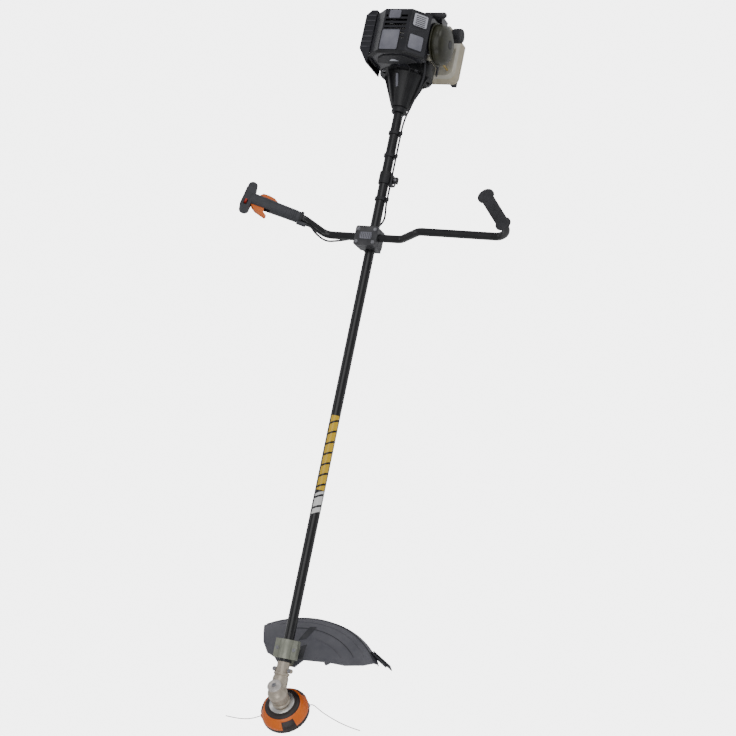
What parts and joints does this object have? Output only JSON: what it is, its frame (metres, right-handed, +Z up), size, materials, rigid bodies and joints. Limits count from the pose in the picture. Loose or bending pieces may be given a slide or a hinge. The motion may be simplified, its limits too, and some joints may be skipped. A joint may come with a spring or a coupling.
{
  "type": "string trimmer",
  "caption": "Petrol string trimmer: small two-stroke engine, long straight shaft, asymmetric handlebar with throttle grip, side guard, angled gear head and bump-feed line head.",
  "frame": {"origin": "on the ground plane under the cylinder axis, at the middle of the engine stand", "axes": "+X along the shaft from the engine to the cutting head, +Y to the operator's left, +Z up"},
  "size_m": [1.8531, 0.719, 0.352],
  "materials": {
    "black_tube": "satin black enamel",
    "bronze": "oiled",
    "black_casting": "satin black",
    "cast_metal": "as cast",
    "ceramic": "glazed",
    "soft_black": "matt",
    "dark_steel": "dark",
    "cover_plastic": "semi-gloss",
    "foam": "open foam",
    "tank_plastic": "translucent",
    "hose_rubber": "clear amber",
    "black_plastic": "fine grain",
    "steel": "machined",
    "head_metal": "warm silver paint",
    "guard_plastic": "fine grain",
    "clamp_metal": "die cast",
    "grip_rubber": "ribbed",
    "orange_plastic": "moulded",
    "line_nylon": "twisted",
    "red_plastic": "moulded",
    "bulb_rubber": "translucent",
    "pulley_plastic": "moulded",
    "rope_cord": "braided",
    "brass_zinc": "zinc plated"
  },
  "bodies": {
    "root": {"shaft_tube": "black_tube", "shaft_bushings": "bronze", "clutch_housing": "black_casting", "fan_case": "black_casting", "crankcase": "cast_metal", "cylinder": "cast_metal", "spark_plug": "ceramic", "ignition_coil": "soft_black", "muffler": "dark_steel", "muffler_cover": "cover_plastic", "engine_cover": "cover_plastic", "carburettor": "cast_metal", "filter_base": "cover_plastic", "filter_foam": "foam", "filter_cover": "cover_plastic", "fuel_tank": "tank_plastic", "fuel_hose": "hose_rubber", "tank_stand": "black_plastic", "starter_housing": "cover_plastic", "bearings": "steel", "gear_case": "head_metal", "guard": "guard_plastic", "guard_clamp": "clamp_metal", "line_cutter": "dark_steel", "left_bar": "black_tube", "right_bar": "black_tube", "bar_bracket": "black_plastic", "bar_cap": "black_plastic", "left_grip": "grip_rubber", "throttle_grip": "black_plastic", "throttle_cable": "soft_black", "cable_clips": "black_plastic", "strap_clamp": "black_casting", "screws": "steel"},
    "crank": {"crankshaft": "steel", "flywheel": "cast_metal", "clutch_shoes": "dark_steel"},
    "piston_set": {"piston": "cast_metal", "connecting_rod": "steel"},
    "drive_line": {"clutch_drum": "dark_steel", "drive_shaft": "steel", "bevel_pinion": "steel"},
    "cutting_head": {"driven_gear": "steel", "head_flange": "steel", "head_housing": "orange_plastic", "line_left": "line_nylon", "line_right": "line_nylon"},
    "bump_feed": {"bump_knob": "black_plastic", "line_spool": "black_plastic", "head_spring": "steel"},
    "trigger": {"throttle_trigger": "orange_plastic"},
    "lockout": {"lockout_lever": "orange_plastic"},
    "switch": {"stop_switch": "red_plastic"},
    "carb_arm": {"throttle_arm": "brass_zinc"},
    "choke": {"choke_lever": "black_plastic"},
    "primer": {"primer_bulb": "bulb_rubber"},
    "cap": {"fuel_cap": "black_plastic"},
    "pull_handle": {"starter_handle": "grip_rubber", "starter_rope": "rope_cord"},
    "pulley": {"starter_pulley": "pulley_plastic"}
  },
  "joints": [
    {"name": "crank_spin", "type": "hinge", "parent": "root", "child": "crank", "pos_m": [0, 0, 0.14], "axis": [1, 0, 0], "continuous": true},
    {"name": "piston_stroke", "type": "slide", "parent": "root", "child": "piston_set", "axis": [0, 0, -1], "range_m": [0, 0.028]},
    {"name": "head_spin", "type": "hinge", "parent": "root", "child": "cutting_head", "pos_m": [1.672, 0, 0.14], "axis": [-0.5, 0, 0.866], "continuous": true},
    {"name": "drive_spin", "type": "hinge", "parent": "root", "child": "drive_line", "pos_m": [1.672, 0, 0.14], "axis": [1, 0, 0], "continuous": true},
    {"name": "bump_press", "type": "slide", "parent": "cutting_head", "child": "bump_feed", "axis": [-0.5, 0, 0.866], "range_m": [0, 0.006], "stiffness_N_per_m": 700, "springref_m": -0.006, "deforming": ["head_spring"]},
    {"name": "trigger_pull", "type": "hinge", "parent": "root", "child": "trigger", "pos_m": [0.48711, -0.28241, 0.28486], "axis": [-0.3034, 0.4617, 0.8335], "range_deg": [0, 15], "stiffness_Nm_per_rad": 0.4, "springref_deg": -8.59},
    {"name": "lockout_press", "type": "hinge", "parent": "root", "child": "lockout", "pos_m": [0.47622, -0.23273, 0.25338], "axis": [-0.3034, 0.4617, 0.8335], "range_deg": [0, 7], "stiffness_Nm_per_rad": 0.4, "springref_deg": -5.73},
    {"name": "switch_slide", "type": "slide", "parent": "root", "child": "switch", "axis": [0.9397, 0, 0.342], "range_m": [0, 0.004]},
    {"name": "carb_throttle", "type": "hinge", "parent": "root", "child": "carb_arm", "pos_m": [0.01, 0.076, 0.2], "axis": [0, 0, 1], "range_deg": [0, 55]},
    {"name": "choke_turn", "type": "hinge", "parent": "root", "child": "choke", "pos_m": [0.038, 0.088, 0.162], "axis": [0, 1, 0], "range_deg": [0, 50]},
    {"name": "primer_press", "type": "slide", "parent": "root", "child": "primer", "axis": [-1, 0, 0], "range_m": [0, 0.004], "stiffness_N_per_m": 400, "springref_m": -0.002},
    {"name": "cap_turn", "type": "hinge", "parent": "root", "child": "cap", "pos_m": [-0.07, 0.099, 0.115], "axis": [0, 1, 0], "range_deg": [0, 90]},
    {"name": "starter_pull", "type": "slide", "parent": "root", "child": "pull_handle", "axis": [0, 0, 1], "range_m": [0, 0.7], "stiffness_N_per_m": 8, "springref_m": -0.1, "deforming": ["starter_rope"]},
    {"name": "pulley_spin", "type": "hinge", "parent": "root", "child": "pulley", "pos_m": [-0.074, 0, 0.14], "axis": [-1, 0, 0], "range_deg": [0, 1220]}
  ],
  "couplings": [
    {"joint": "drive_spin", "follows": "head_spin", "ratio": -1.3571},
    {"joint": "carb_throttle", "follows": "trigger_pull", "ratio": 3.6667},
    {"joint": "pulley_spin", "follows": "starter_pull", "rad_per_m": 30.303}
  ]
}
